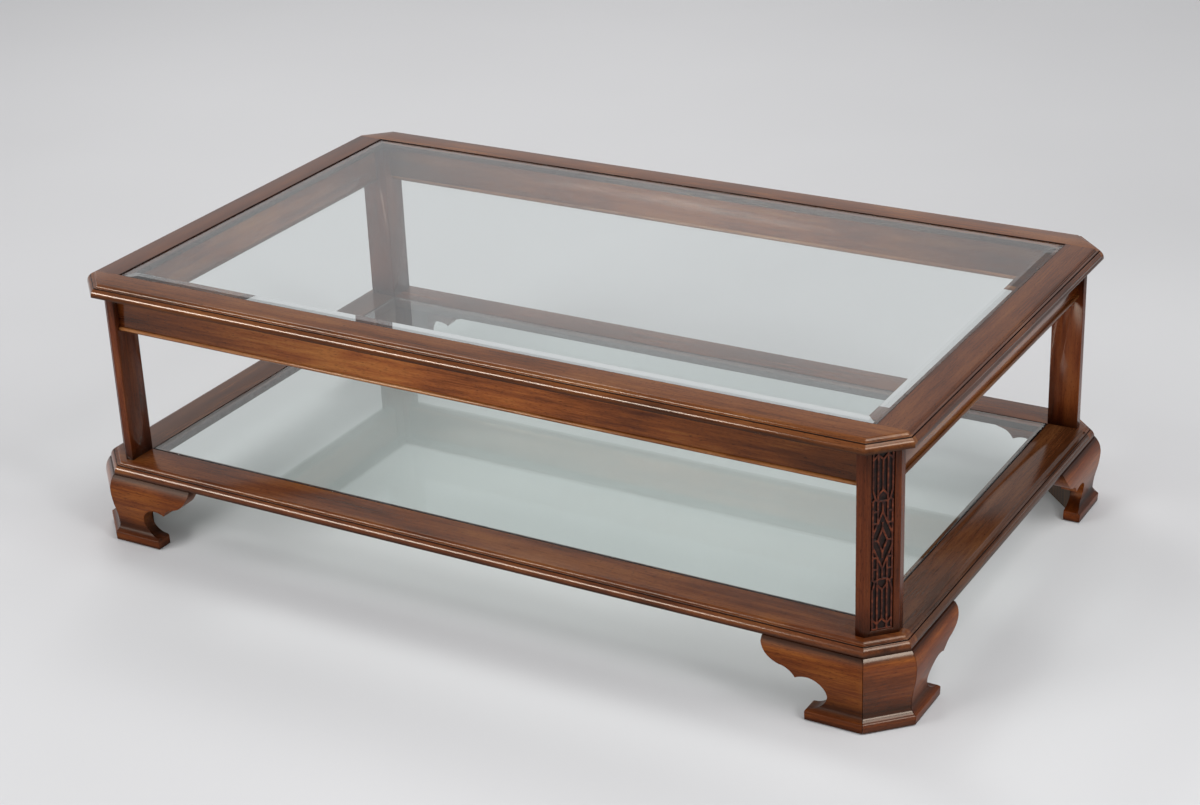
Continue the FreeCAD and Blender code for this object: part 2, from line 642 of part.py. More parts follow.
# ---------------------------------------------------------------- the whole table
def corner_pieces():
    """Posts, fretwork and feet at the four corners."""
    originals = {
        "post": post(),
        "fret_panel": fret_panel(),
        "foot_bracket_long": at_corner(bracket()),
        "foot_bracket_short": at_corner(swapped(bracket())),
        "foot_clip_panel": clip_panel(),
        "foot_glue_block": glue_block(),
    }
    pieces = {}
    for name, shape in originals.items():
        for side_name, side in SIDES.items():
            for end_name, end in ENDS.items():
                node = "_".join([name, side_name, end_name])
                pieces[node] = mirrored(shape, end, side)
    return pieces


def build():
    """Every node of the table by name."""
    pieces = {}
    pieces.update(top_rails())
    pieces.update(shelf_rails())
    pieces.update(aprons())
    pieces.update(beads())
    pieces.update(corner_pieces())
    pieces["glass_top"] = pane(TOP_RAIL_WIDTH, TABLE_HEIGHT, TOP_GLASS, BEVEL_WIDTH, BEVEL_DEPTH)
    pieces["glass_shelf"] = pane(SHELF_RAIL_WIDTH, SHELF_TOP, SHELF_GLASS, SHELF_ARRIS, SHELF_ARRIS)
    pieces["top_glass_pads"] = glass_pads(TOP_RAIL_WIDTH, TABLE_HEIGHT - TOP_GLASS)
    pieces["shelf_glass_pads"] = glass_pads(SHELF_RAIL_WIDTH, SHELF_TOP - SHELF_GLASS)
    pieces["floor_glides"] = Part.makeCompound(four(glide()))
    return pieces


os.makedirs("parts", exist_ok=True)
for node_name, node_shape in build().items():
    node_shape.exportStep("parts/" + node_name + ".step")
    print(node_name, len(node_shape.Solids), node_shape.isValid(), round(node_shape.Volume))
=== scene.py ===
import bpy
import bmesh
import math
from mathutils import Matrix, Vector


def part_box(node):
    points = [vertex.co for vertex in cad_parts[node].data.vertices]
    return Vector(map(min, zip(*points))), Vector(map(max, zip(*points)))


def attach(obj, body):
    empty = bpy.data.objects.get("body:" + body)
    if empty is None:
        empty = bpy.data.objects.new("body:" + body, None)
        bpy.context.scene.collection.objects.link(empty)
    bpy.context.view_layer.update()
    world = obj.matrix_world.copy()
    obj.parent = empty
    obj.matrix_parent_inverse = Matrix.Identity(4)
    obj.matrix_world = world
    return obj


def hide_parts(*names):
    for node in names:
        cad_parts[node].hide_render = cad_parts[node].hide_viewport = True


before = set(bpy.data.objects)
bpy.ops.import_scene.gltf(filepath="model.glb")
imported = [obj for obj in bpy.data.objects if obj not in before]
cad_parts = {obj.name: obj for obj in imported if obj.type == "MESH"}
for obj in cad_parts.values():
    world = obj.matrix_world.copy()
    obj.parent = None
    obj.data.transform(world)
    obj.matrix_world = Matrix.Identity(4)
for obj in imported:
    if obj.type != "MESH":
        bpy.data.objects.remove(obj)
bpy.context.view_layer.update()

# ------------------------------------------------------------ Ogee bracket feet
# Each foot is three boards of mahogany with one ogee run along their faces, mitred at the
# clipped corner. The two brackets are sawn to a scroll outline before they are glued up.
def mm(value):
    """Metres from millimetres."""
    return value / 1000


table_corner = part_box("top_rail_back")[1]
HALF_LENGTH = table_corner[0]
HALF_WIDTH = table_corner[1]
CLIP_LEG = mm(47.9)
HALF_CLIP = CLIP_LEG / math.sqrt(2)
block_low, block_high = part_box("foot_glue_block_front_left")
FOOT_LIFT = block_low[2]
FOOT_TOP = block_high[2]
BOARD = mm(16.7)
MITRE_SLOPE = math.tan(math.radians(22.5))
JOINT_GAP = mm(0.4)
SAME_POINT = mm(0.01)
MITRE_REACH = mm(0.05)
CORNERS = {"front_left": (-1, -1), "front_right": (1, -1), "back_left": (-1, 1), "back_right": (1, 1)}


def rounded_line(runs, axis, start):
    """A line of arcs in the plane across axis: each run is its end point, its swell and its steps.

    A swell is how far the middle of an arc stands off its chord; a run with none is straight.
    """
    line = bmesh.new()
    last = line.verts.new(start)
    for end, swell, steps in runs:
        begin = last.co.copy()
        way = Vector(end) - begin
        if swell == 0:
            vertex = line.verts.new(end)
            line.edges.new((last, vertex))
            last = vertex
            continue
        left = axis.cross(way).normalized()
        radius = ((way.length / 2) ** 2 + swell ** 2) / (2 * abs(swell))
        side = math.copysign(1, swell)
        centre = begin + way / 2 + left * (swell - side * radius)
        turn = -side * 4 * math.atan2(2 * abs(swell), way.length)
        spun = bmesh.ops.spin(line, geom=[last], cent=centre, axis=axis, angle=turn, steps=steps)
        last = next(item for item in spun["geom_last"] if isinstance(item, bmesh.types.BMVert))
    return line


def ogee_levels():
    """Heights and projections down the face of a foot, read off its section line."""
    section = rounded_line([
        ((0, mm(10.2), mm(85.0)), mm(2.42), 9),  # shoulder
        ((0, mm(5.8), mm(55.0)), mm(0.8), 4),  # belly
        ((0, mm(1.7), mm(30.0)), mm(-0.6), 4),  # waist, in to the neck
        ((0, mm(8.0), mm(16.0)), mm(-2.6), 7),  # cove
        ((0, mm(10.0), mm(14.0)), mm(0.58), 4),  # round of the pad
        ((0, mm(9.3), FOOT_LIFT), 0, 1),  # face of the pad
    ], Vector((1, 0, 0)), (0, mm(1.8), FOOT_TOP))
    levels = sorted((vertex.co.z, vertex.co.y) for vertex in section.verts)
    section.free()
    return levels


OGEE = ogee_levels()


def ogee_out(height):
    """How far the ogee stands out at a height."""
    for (low, out_low), (high, out_high) in zip(OGEE, OGEE[1:]):
        if height <= high:
            share = max(0, (height - low) / (high - low))
            return out_low + share * (out_high - out_low)
    return OGEE[-1][1]


def foot_board(outline, mitre_ends):
    """A board sawn to an outline in X and Z, with the ogee raised on its +Y face.

    The ends listed in mitre_ends are cut back along the mitre: {x of the end: way inwards}.
    """
    board = outline.copy()
    bmesh.ops.remove_doubles(board, verts=board.verts[:], dist=SAME_POINT)
    bmesh.ops.contextual_create(board, geom=board.edges[:])
    thick = bmesh.ops.extrude_face_region(board, geom=board.faces[:])
    moved = [item for item in thick["geom"] if isinstance(item, bmesh.types.BMVert)]
    bmesh.ops.translate(board, verts=moved, vec=(0, -BOARD, 0))
    for height, _ in OGEE[1:-1]:
        everything = board.verts[:] + board.edges[:] + board.faces[:]
        bmesh.ops.bisect_plane(board, geom=everything, plane_co=(0, 0, height), plane_no=(0, 0, 1))
    for vertex in board.verts:
        out = ogee_out(vertex.co.z) if vertex.co.y > -BOARD / 2 else -BOARD
        for end, inwards in mitre_ends.items():
            if abs(vertex.co.x - end) < MITRE_REACH:
                vertex.co.x = end - inwards * (MITRE_SLOPE * out - JOINT_GAP)
        vertex.co.y = out
    return board


def bracket_outline():
    """The scroll outline; x is the reach along the side from the table's uncut corner."""
    return rounded_line([
        ((mm(194.7), 0, FOOT_TOP), 0, 1),  # top edge, out to the tip
        ((mm(194.7), 0, mm(105.0)), 0, 1),  # square end of the tip
        ((mm(165.7), 0, mm(78.0)), mm(4.9), 10),  # sweep in from the tip
        ((mm(143.7), 0, mm(62.0)), mm(-3.6), 8),  # down to the hanging lobe
        ((mm(122.7), 0, mm(67.0)), mm(-1.5), 6),  # up to the cusp
        ((mm(98.2), 0, mm(41.0)), mm(-6.2), 10),  # arch, in to its deepest point
        ((mm(124.7), 0, mm(18.0)), mm(-6.4), 10),  # arch, out to the toe
        ((mm(128.7), 0, mm(14.0)), mm(1.17), 5),  # round of the toe
        ((mm(128.7), 0, FOOT_LIFT), 0, 1),  # end of the toe
        ((CLIP_LEG, 0, FOOT_LIFT), 0, 1),  # sole
        ((CLIP_LEG, 0, FOOT_TOP), 0, 1),  # mitred end
    ], Vector((0, -1, 0)), (CLIP_LEG, 0, FOOT_TOP))


def clip_outline():
    """The plain outline of the board across the clipped corner, about its middle."""
    return rounded_line([
        ((HALF_CLIP, 0, FOOT_TOP), 0, 1),
        ((HALF_CLIP, 0, FOOT_LIFT), 0, 1),
        ((-HALF_CLIP, 0, FOOT_LIFT), 0, 1),
        ((-HALF_CLIP, 0, FOOT_TOP), 0, 1),
    ], Vector((0, -1, 0)), (-HALF_CLIP, 0, FOOT_TOP))


def linear(code):
    """Linear colour from an sRGB hex code."""
    parts = [int(code[place:place + 2], 16) / 255 for place in (0, 2, 4)]
    return [part / 12.92 if part <= 0.04045 else ((part + 0.055) / 1.055) ** 2.4 for part in parts] + [1]


def add_node(owner, kind, inputs=None, steps=(), **settings):
    """A node with its settings and links; a colour ramp also takes its (position, hex colour) steps.

    An input takes a value or another node's output.
    """
    node = owner.node_tree.nodes.new(kind)
    for name, value in settings.items():
        setattr(node, name, value)
    for name, value in (inputs or {}).items():
        if isinstance(value, bpy.types.NodeSocket):
            owner.node_tree.links.new(value, node.inputs[name])
        else:
            node.inputs[name].default_value = value
    if steps:
        points = node.color_ramp.elements
        while len(points) < len(steps):
            points.new(0.5)
        for point, (position, code) in zip(points, steps):
            point.position = position
            point.color = linear(code)
    return node


def new_material(name):
    """An empty material and its output node."""
    material = bpy.data.materials.new(name)
    material.use_nodes = True
    material.node_tree.nodes.clear()
    return material, add_node(material, "ShaderNodeOutputMaterial")


# Genuine mahogany under a rubbed lacquer gone amber with age. The eye sees short dark pores, slow
# bands of red and golden brown along the grain, a few small knocks, and soft highlights that lean
# warm. Real pores are about 0.2 mm wide, too fine to show, so they are drawn 0.6 mm wide.
GRAIN = {"clouds": (mm(190), mm(60), 2.0), "bands": (mm(320), mm(11), 2.0),
         "figure": (mm(45), mm(2.6), 3.0), "pores": (mm(8), mm(0.6), 1.0)}
GRAIN_SHARES = {"clouds": 0.45, "bands": 0.28, "figure": 0.27}
PORE_STEPS = [(0.30, "746C66"), (0.40, "FFFFFF")]
PORE_STRENGTH = 0.8
KNOCK_SPACING = mm(62.5)
KNOCK_STEPS = [(0.012, "1A0C06"), (0.022, "FFFFFF")]
KNOCK_STRENGTH = 0.7
AMBER = "FFEDDA"
LACQUER_IOR = 1.5


def lacquered_mahogany(name, turn, seed, dark, middle, light, painted_shade_by_height=(), ends=(), gloss=0.62, haze=0.11):
    """Mahogany with its grain along X turned by the given Euler angles in degrees.

    painted_shade_by_height is a list of (height in metres, grey) steps that paint shade at some
    heights, and ends is one of (distance from the table's middle along the grain, grey). Gloss is the
    strength of the highlights and haze is how far they are blurred.
    """
    material, output = new_material(name)
    place = add_node(material, "ShaderNodeTexCoord").outputs["Object"]
    back = [math.radians(-angle) for angle in turn]
    grain = add_node(material, "ShaderNodeMapping",
                     {"Vector": place, "Rotation": back, "Location": (seed, 2 * seed, 3 * seed)})
    pattern = {}
    for kind, (length, width, detail) in GRAIN.items():
        drawn_out = add_node(material, "ShaderNodeVectorMath",
                             {0: grain.outputs["Vector"], 1: (1 / length, 1 / width, 1 / width)},
                             operation="MULTIPLY")
        pattern[kind] = add_node(material, "ShaderNodeTexNoise",
                                 {"Vector": drawn_out.outputs["Vector"], "Scale": 1.0, "Detail": detail,
                                  "Roughness": 0.55}).outputs["Fac"]
    blend = add_node(material, "ShaderNodeMath", {0: pattern["clouds"], 1: GRAIN_SHARES["clouds"]},
                     operation="MULTIPLY")
    for kind in ("bands", "figure"):
        blend = add_node(material, "ShaderNodeMath",
                         {0: pattern[kind], 1: GRAIN_SHARES[kind], 2: blend.outputs[0]},
                         operation="MULTIPLY_ADD")
    tone = add_node(material, "ShaderNodeValToRGB", {"Fac": blend.outputs[0]},
                    [(0.35, dark), (0.5, middle), (0.65, light)])
    colour = tone.outputs["Color"]
    knocks = add_node(material, "ShaderNodeTexVoronoi",
                      {"Vector": grain.outputs["Vector"], "Scale": 1 / KNOCK_SPACING, "Randomness": 1.0})
    layers = [(pattern["pores"], PORE_STEPS, PORE_STRENGTH),
              (knocks.outputs["Distance"], KNOCK_STEPS, KNOCK_STRENGTH)]
    # Painted shade by height, multiplied into the colour.
    if painted_shade_by_height:
        height = add_node(material, "ShaderNodeSeparateXYZ", {"Vector": place})
        layers.append((height.outputs["Z"], painted_shade_by_height, 1.0))
    if ends:
        turned_back = add_node(material, "ShaderNodeMapping", {"Vector": place, "Rotation": back})
        along = add_node(material, "ShaderNodeSeparateXYZ", {"Vector": turned_back.outputs["Vector"]})
        reach = add_node(material, "ShaderNodeMath", {0: along.outputs["X"]}, operation="ABSOLUTE")
        layers.append((reach.outputs[0], ends, 1.0))
    # In a colour mix, inputs 6 and 7 are the two colours and output 2 is what they make.
    for factor, steps, strength in layers:
        shade = add_node(material, "ShaderNodeValToRGB", {"Fac": factor}, steps)
        darkened = add_node(material, "ShaderNodeMix", {0: strength, 6: colour, 7: shade.outputs["Color"]},
                            data_type="RGBA", blend_type="MULTIPLY")
        colour = darkened.outputs[2]
    bump = add_node(material, "ShaderNodeBump",
                    {"Height": pattern["pores"], "Strength": 0.08, "Distance": mm(0.2)})
    shader = add_node(material, "ShaderNodeBsdfPrincipled",
                      {"Base Color": colour, "Roughness": haze, "IOR": LACQUER_IOR,
                       "Specular IOR Level": 0.5 * gloss, "Specular Tint": linear(AMBER),
                       "Normal": bump.outputs["Normal"]})
    material.node_tree.links.new(shader.outputs["BSDF"], output.inputs["Surface"])
    return material


EASED_ANGLE = math.radians(28)


def finished(mesh_form, name, materials, body="frame", round_edge=0.0, node=None):
    """A bmesh made into a piece that rides on its body and stands for its CAD node."""
    bmesh.ops.recalc_face_normals(mesh_form, faces=mesh_form.faces[:])
    for face in mesh_form.faces:
        face.smooth = True
    mesh = bpy.data.meshes.new(name)
    mesh_form.to_mesh(mesh)
    mesh_form.free()
    piece = bpy.data.objects.new(name, mesh)
    bpy.context.scene.collection.objects.link(piece)
    for material in materials:
        mesh.materials.append(material)
    if round_edge:
        soften = piece.modifiers.new("eased edges", "BEVEL")
        soften.width = round_edge
        soften.segments = 2
        soften.limit_method = "ANGLE"
        soften.angle_limit = EASED_ANGLE
        soften.use_clamp_overlap = False
        soften.harden_normals = True
    else:
        mesh.set_sharp_from_angle(angle=EASED_ANGLE)
    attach(piece, body)
    if node:
        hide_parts(node)
    return piece


# The brackets are rubbed duller than the clipped boards, whose shoulders and pads catch the light.
# Painted shade darkens them under the moulding, round the neck and along the sole.
FOOT_TONES = ("361404", "68300F", "90501B")
LONG_FOOT_TONES = ("301306", "5C2C11", "7E471B")
# Steps of painted shade by height up the feet.
FOOT_PAINTED_SHADE = [(mm(2), "6A6462"), (mm(6), "E0DCDA"), (mm(14), "FFFFFF"), (mm(18), "A09896"), (mm(26), "7A7270"),
       (mm(42), "E8E4E2"), (mm(60), "FFFFFF"), (mm(102), "FFFFFF"), (mm(110), "6E6664")]
foot_wood_long = lacquered_mahogany("mahogany, foot boards along the table", (0, 0, 0), 1.3,
                                    *LONG_FOOT_TONES, FOOT_PAINTED_SHADE, gloss=0.25, haze=0.35)
foot_wood_short = lacquered_mahogany("mahogany, foot boards across the table", (0, 0, 90), 2.1,
                                     *FOOT_TONES, FOOT_PAINTED_SHADE, gloss=0.35, haze=0.3)
foot_wood_rising = lacquered_mahogany("mahogany, clipped foot boards rising", (0, 0, 45), 3.7,
                                      *FOOT_TONES, FOOT_PAINTED_SHADE, gloss=0.85, haze=0.18)
foot_wood_falling = lacquered_mahogany("mahogany, clipped foot boards falling", (0, 0, -45), 4.9,
                                       *FOOT_TONES, FOOT_PAINTED_SHADE, gloss=0.85, haze=0.18)

bracket_board = foot_board(bracket_outline(), {CLIP_LEG: 1})
clip_board = foot_board(clip_outline(), {HALF_CLIP: -1, -HALF_CLIP: 1})

# Each board is made facing +Y. A matrix stands it in its corner: along the table, across it, or on the
# slant of the clip.
SLANT = math.sqrt(0.5)
for corner, (end, side) in CORNERS.items():
    along = Matrix(((-end, 0, 0, end * HALF_LENGTH),
                    (0, side, 0, side * HALF_WIDTH),
                    (0, 0, 1, 0),
                    (0, 0, 0, 1)))
    across = Matrix(((0, end, 0, end * HALF_LENGTH),
                     (-side, 0, 0, side * HALF_WIDTH),
                     (0, 0, 1, 0),
                     (0, 0, 0, 1)))
    slanted = Matrix(((-SLANT * side * end, SLANT * end, 0, end * (HALF_LENGTH - CLIP_LEG / 2)),
                      (SLANT, SLANT * side, 0, side * (HALF_WIDTH - CLIP_LEG / 2)),
                      (0, 0, 1, 0),
                      (0, 0, 0, 1)))
    clip_wood = foot_wood_falling if end * side > 0 else foot_wood_rising
    for form, place, kind, wood in ((bracket_board, along, "bracket_long_", foot_wood_long),
                                    (bracket_board, across, "bracket_short_", foot_wood_short),
                                    (clip_board, slanted, "clip_panel_", clip_wood)):
        board = form.copy()
        bmesh.ops.transform(board, matrix=place, verts=board.verts[:])
        finished(board, "ogee_" + kind + corner, [wood], node="foot_" + kind + corner)
bracket_board.free()
clip_board.free()

# ------------------------------------------------------------ Glue blocks and floor glides
# A block of pine is glued behind the three boards of each foot and mortised for the post. A glide
# of pressed steel is nailed up into the clipped board. Both are hidden in use.

# Sawn pine, drawn dark as painted shade, with faint rings and no shine, so that the inside of a foot reads
# as a hollow.
pine, pine_output = new_material("pine, sawn, drawn dark as painted shade")
pine_place = add_node(pine, "ShaderNodeTexCoord").outputs["Object"]
pine_turn = add_node(pine, "ShaderNodeMapping", {"Vector": pine_place, "Rotation": (0, math.radians(90), 0)})
pine_grain = add_node(pine, "ShaderNodeVectorMath",
                      {0: pine_turn.outputs["Vector"], 1: (1 / mm(150), 1 / mm(5), 1 / mm(5))},
                      operation="MULTIPLY")
pine_rings = add_node(pine, "ShaderNodeTexNoise",
                      {"Vector": pine_grain.outputs["Vector"], "Scale": 1.0, "Detail": 3.0,
                       "Roughness": 0.55})
pine_painted_shade_colour = add_node(pine, "ShaderNodeValToRGB", {"Fac": pine_rings.outputs["Fac"]},
                       [(0.35, "1F130B"), (0.5, "2E1D11"), (0.65, "402A18")])
pine_bump = add_node(pine, "ShaderNodeBump",
                     {"Height": pine_rings.outputs["Fac"], "Strength": 0.3, "Distance": mm(0.4)})
pine_shader = add_node(pine, "ShaderNodeBsdfPrincipled",
                       {"Base Color": pine_painted_shade_colour.outputs["Color"], "Roughness": 0.75,
                        "Normal": pine_bump.outputs["Normal"]})
pine.node_tree.links.new(pine_shader.outputs["BSDF"], pine_output.inputs["Surface"])

# Nickel plate over pressed steel: a soft grey shine, cloudy where the press has scuffed it.
steel, steel_output = new_material("pressed steel, nickel plated")
steel_place = add_node(steel, "ShaderNodeTexCoord").outputs["Object"]
steel_grain = add_node(steel, "ShaderNodeVectorMath",
                       {0: steel_place, 1: (1 / mm(4), 1 / mm(2), 1 / mm(2))}, operation="MULTIPLY")
steel_scuffs = add_node(steel, "ShaderNodeTexNoise",
                        {"Vector": steel_grain.outputs["Vector"], "Scale": 1.0, "Detail": 3.0,
                         "Roughness": 0.55})
steel_colour = add_node(steel, "ShaderNodeValToRGB", {"Fac": steel_scuffs.outputs["Fac"]},
                        [(0.35, "7C7B78"), (0.65, "A9A8A4")])
steel_shader = add_node(steel, "ShaderNodeBsdfPrincipled",
                        {"Base Color": steel_colour.outputs["Color"], "Metallic": 1.0, "Roughness": 0.35})
steel.node_tree.links.new(steel_shader.outputs["BSDF"], steel_output.inputs["Surface"])


def coated(node, material):
    """A CAD node shown as it is, in the given material."""
    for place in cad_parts[node].material_slots:
        place.material = material


for corner in CORNERS:
    coated("foot_glue_block_" + corner, pine)
coated("floor_glides", steel)

# ------------------------------------------------------------ Shelf frame
# Two long mahogany rails with clipped ends and two short ones tenoned between them, with an
# ovolo, a fine quirk and a thumb moulding run round the edge and mitred at the clips.
# The shelf's rails are drawn darker than the top's, as painted shade under the top, and those across the
# table darker still, as painted shade.
SHELF_PAINTED_SHADE_TONES = ("341608", "5A2D14", "74441F")
SHELF_END_PAINTED_SHADE_TONES = ("291308", "472613", "5F3A1F")
SHELF_TOP = mm(129.7)
SHELF_RAIL_WIDTH = mm(69.2)
SHELF_REBATE = mm(7)
RAIL_THICKNESS = mm(18)
LEDGE = mm(10)
WELD = mm(0.001)
# Width of the fine line of painted shade along the rebate's arris.
PAINTED_SHADE_LINE = mm(0.7)
RAIL_EASING = mm(0.25)

# The same mahogany with a duller film on the flats, and painted shade under the moulding.
SHELF_PAINTED_SHADE = [(mm(111.8), "6E6462"), (mm(114.0), "A8A09C"), (mm(116.5), "FFFFFF")]
shelf_wood_long = lacquered_mahogany("mahogany, shelf rails along the table", (0, 0, 0), 5.3,
                                     *SHELF_PAINTED_SHADE_TONES, SHELF_PAINTED_SHADE, haze=0.15)
shelf_wood_short = lacquered_mahogany("mahogany, shelf rails across the table", (0, 0, 90), 6.1,
                                      *SHELF_END_PAINTED_SHADE_TONES, SHELF_PAINTED_SHADE, haze=0.15)

# Painted shade in the quirks and the rebates, where it draws a fine dark line.
quirk_painted_shade = lacquered_mahogany("mahogany, painted shade in the quirks and rebates", (0, 0, 0), 4.4,
                                 "1A0C07", "26130B", "341C12")


def plate(half_x, half_y, clip, level):
    """A rectangle with clipped corners, doubled so that its upper face can be raised."""
    form = bmesh.new()
    bmesh.ops.create_grid(form, x_segments=1, y_segments=1, size=1)
    bmesh.ops.scale(form, vec=(half_x, half_y, 1), verts=form.verts[:])
    bmesh.ops.translate(form, vec=(0, 0, level), verts=form.verts[:])
    if clip:
        bmesh.ops.bevel(form, geom=form.verts[:], offset=clip, segments=1, profile=0.5, affect="VERTICES",
                        clamp_overlap=False, material=-1)
    bmesh.ops.extrude_face_region(form, geom=form.faces[:])
    cap = next(face for face in form.faces if face.normal.z > 0.5)
    return form, cap


def raised(form, cap, profile):
    """The cap drawn in and up through a profile of (inset, height) points; returns the rings."""
    rings = []
    for (inset, height), (next_inset, next_height) in zip(profile, profile[1:]):
        ring = bmesh.ops.inset_region(form, faces=[cap], thickness=next_inset - inset,
                                      depth=next_height - height, use_even_offset=True, use_boundary=True)
        rings.append(ring["faces"])
    return rings


QUIRK_START = mm(5.15)
QUIRK_END = mm(6.2)


def edge_profile():
    """The moulded edge from the underside up: thumb, quirk, fillet and ovolo."""
    line = rounded_line([
        ((0, mm(5.1), mm(12.6)), mm(1.5), 9),  # thumb
        ((0, QUIRK_START, mm(11.4)), 0, 1),  # quirk, near wall
        ((0, mm(6.15), mm(11.4)), 0, 1),  # quirk, bottom
        ((0, QUIRK_END, mm(14.0)), 0, 1),  # quirk, far wall
        ((0, mm(10.1), mm(14.0)), 0, 1),  # fillet
        ((0, mm(14.7), mm(18.0)), mm(0.97), 7),  # ovolo
    ], Vector((1, 0, 0)), (0, 0, 0))
    points = [(vertex.co.y, vertex.co.z) for vertex in line.verts]
    line.free()
    return points


def moulded_slab(top):
    """The whole frame before its opening is cut; the quirk's faces take the painted shade."""
    form, cap = plate(HALF_LENGTH, HALF_WIDTH, CLIP_LEG, top - RAIL_THICKNESS)
    profile = edge_profile()
    for (inset, height), ring in zip(profile[1:], raised(form, cap, profile)):
        if QUIRK_START - SAME_POINT < inset < QUIRK_END + SAME_POINT:
            for face in ring:
                face.material_index = 1
    bmesh.ops.remove_doubles(form, verts=form.verts[:], dist=WELD)
    return form


def sawn(form, point, direction):
    """Everything on the far side of a saw cut taken off, and the cut closed."""
    everything = form.verts[:] + form.edges[:] + form.faces[:]
    cut = bmesh.ops.bisect_plane(form, geom=everything, plane_co=point, plane_no=direction, clear_outer=True)
    edges = [item for item in cut["geom_cut"] if isinstance(item, bmesh.types.BMEdge)]
    bmesh.ops.contextual_create(form, geom=edges)


ALIGNED = 0.999


def ledge(form, level, direction, reach):
    """The ledge for the glass, drawn out of the rail's inner face below the given level.

    On the long rails it stops at the given reach from the middle, where the short rails' ledges start.
    """
    everything = form.verts[:] + form.edges[:] + form.faces[:]
    bmesh.ops.bisect_plane(form, geom=everything, plane_co=(0, 0, level), plane_no=(0, 0, 1))
    long_rail = direction.x == 0
    if long_rail:
        for end in (-reach, reach):
            everything = form.verts[:] + form.edges[:] + form.faces[:]
            bmesh.ops.bisect_plane(form, geom=everything, plane_co=(end, 0, 0), plane_no=(1, 0, 0))
    bmesh.ops.recalc_face_normals(form, faces=form.faces[:])
    lips = []
    for face in form.faces:
        middle = face.calc_center_median()
        inward = face.normal.dot(direction) > ALIGNED
        if inward and middle.z < level and (not long_rail or abs(middle.x) < reach):
            lips.append(face)
    drawn = bmesh.ops.extrude_face_region(form, geom=lips)
    moved = [item for item in drawn["geom"] if isinstance(item, bmesh.types.BMVert)]
    bmesh.ops.delete(form, geom=lips, context="FACES_ONLY")
    bmesh.ops.translate(form, verts=moved, vec=direction * LEDGE)


def painted_rebate_shade(form, top, direction, half_run, place):
    """Painted shade on the wall of the rebate, at place from the middle, and in a fine line along its arris.

    The rebate runs for half_run either way along the rail.
    """
    line = place + PAINTED_SHADE_LINE
    run = Vector((1, 1, 0)) - Vector(abs(part) for part in direction)
    for point, normal in ((-direction * line, direction), (run * half_run, run), (-run * half_run, run)):
        everything = form.verts[:] + form.edges[:] + form.faces[:]
        bmesh.ops.bisect_plane(form, geom=everything, plane_co=point, plane_no=normal)
    for face in form.faces:
        middle = face.calc_center_median()
        near = -middle.dot(direction) < line and abs(middle.dot(run)) < half_run
        if near and (abs(middle.z - top) < SAME_POINT or face.normal.dot(direction) > ALIGNED):
            face.material_index = 1


def glazed_rails(kind, top, width, rebate, wood_long, wood_short):
    """The four rails of a frame, cut from one moulded slab."""
    slab = moulded_slab(top)
    x_glass = HALF_LENGTH - width
    y_glass = HALF_WIDTH - width
    for name, side in (("front", -1), ("back", 1)):
        rail = slab.copy()
        sawn(rail, (0, side * y_glass, 0), (0, -side, 0))
        ledge(rail, top - rebate, Vector((0, -side, 0)), x_glass - LEDGE)
        painted_rebate_shade(rail, top, Vector((0, -side, 0)), x_glass, y_glass)
        finished(rail, kind + "_frame_rail_" + name, [wood_long, quirk_painted_shade],
                 round_edge=RAIL_EASING, node=kind + "_rail_" + name)
    for name, end in (("left", -1), ("right", 1)):
        rail = slab.copy()
        sawn(rail, (end * x_glass, 0, 0), (-end, 0, 0))
        sawn(rail, (0, y_glass, 0), (0, 1, 0))
        sawn(rail, (0, -y_glass, 0), (0, -1, 0))
        ledge(rail, top - rebate, Vector((-end, 0, 0)), 0)
        painted_rebate_shade(rail, top, Vector((-end, 0, 0)), y_glass, x_glass)
        finished(rail, kind + "_frame_rail_" + name, [wood_short, quirk_painted_shade],
                 round_edge=RAIL_EASING, node=kind + "_rail_" + name)
    slab.free()


glazed_rails("shelf", SHELF_TOP, SHELF_RAIL_WIDTH, SHELF_REBATE, shelf_wood_long, shelf_wood_short)

# ------------------------------------------------------------ Posts and blind fretwork
# Square mahogany posts with the outer corner clipped and a panel sunk in the clip. The fret is
# sawn mahogany, drawn nearly black as painted shade except on the faces of its straps, and glued
# into the sunk panel.
POST_TONES = ("32140A", "552611", "6E3A1B")
POST_EASING = mm(0.7)
FRET_EASING = mm(0.45)
FACE_DEPTH = mm(0.1)

# The redder, duller mahogany of the posts, with painted shade at the head and the foot.
POST_PAINTED_SHADE = [(mm(131), "6E6664"), (mm(145), "B8B0AC"), (mm(175), "FFFFFF"), (mm(350), "FFFFFF"),
            (mm(395), "C0B8B4"), (mm(407), "6E6664")]
post_wood = lacquered_mahogany("mahogany, posts", (0, 90, 0), 7.7, *POST_TONES, POST_PAINTED_SHADE,
                               gloss=0.38, haze=0.2)


SAME_VERTEX = mm(0.005)
FLAT_ANGLE = math.radians(0.4)


def eased_copy(node, name, material, round_edge, body="frame"):
    """A piece cut exactly as its CAD node, with its facets merged and its sharp edges eased."""
    form = bmesh.new()
    form.from_mesh(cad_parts[node].data)
    bmesh.ops.remove_doubles(form, verts=form.verts[:], dist=SAME_VERTEX)
    bmesh.ops.dissolve_limit(form, angle_limit=FLAT_ANGLE, verts=form.verts[:], edges=form.edges[:])
    return finished(form, name, [material], body, round_edge, node)


